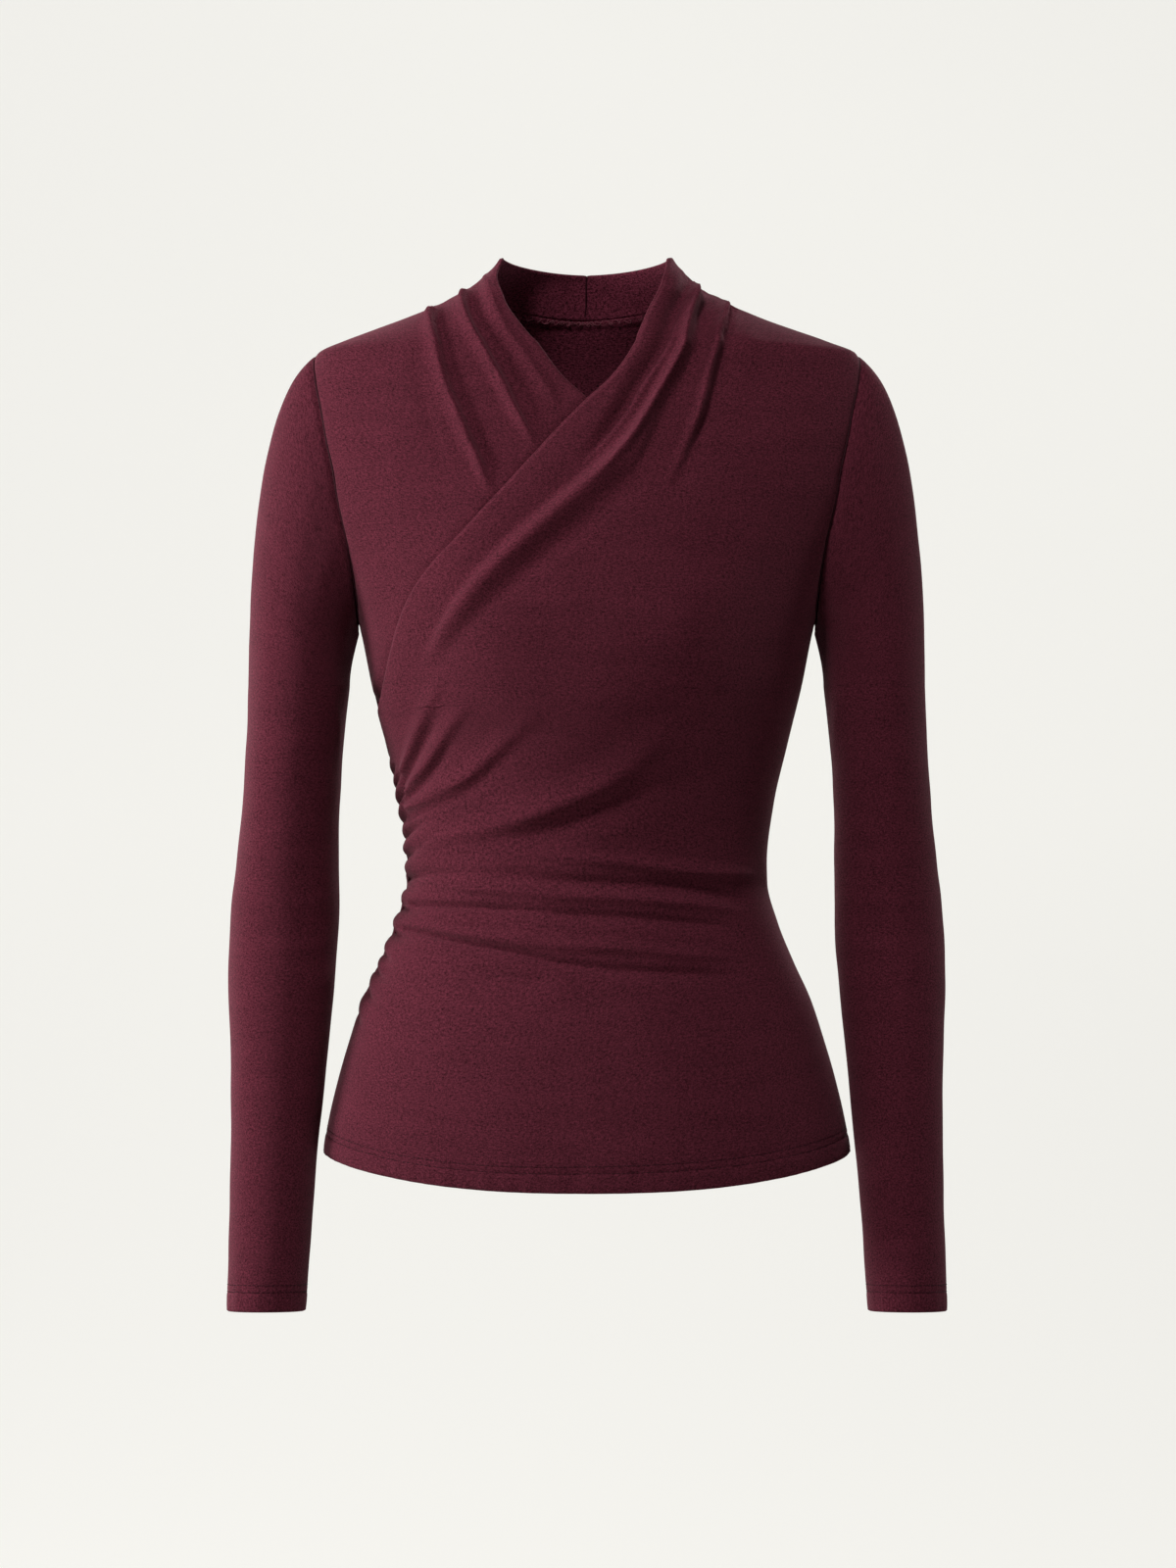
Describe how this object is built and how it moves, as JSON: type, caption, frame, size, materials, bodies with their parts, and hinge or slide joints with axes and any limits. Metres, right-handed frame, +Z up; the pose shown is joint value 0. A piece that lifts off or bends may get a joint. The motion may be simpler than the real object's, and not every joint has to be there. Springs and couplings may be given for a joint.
{
  "type": "wrap top",
  "caption": "Fitted long-sleeved jersey wrap top, its left front lapped over the right and gathered into the right side seam, with a raised back collar, filled out as worn",
  "frame": {"origin": "middle of the neck, at the height of the shoulder line beside the neck, where the wearer's shoulders hold the top", "axes": "+Z up, -Y to the front of the garment, +X to the wearer's left"},
  "size_m": [0.475, 0.2317, 0.6944],
  "materials": {
    "knit": "brushed heathered wine-red jersey knit, matt"
  },
  "bodies": {
    "root": {"back": "knit", "front_over": "knit", "front_under": "knit", "collar_back_right": "knit", "collar_back_left": "knit", "sleeve_right": "knit", "sleeve_left": "knit"}
  },
  "joints": []
}
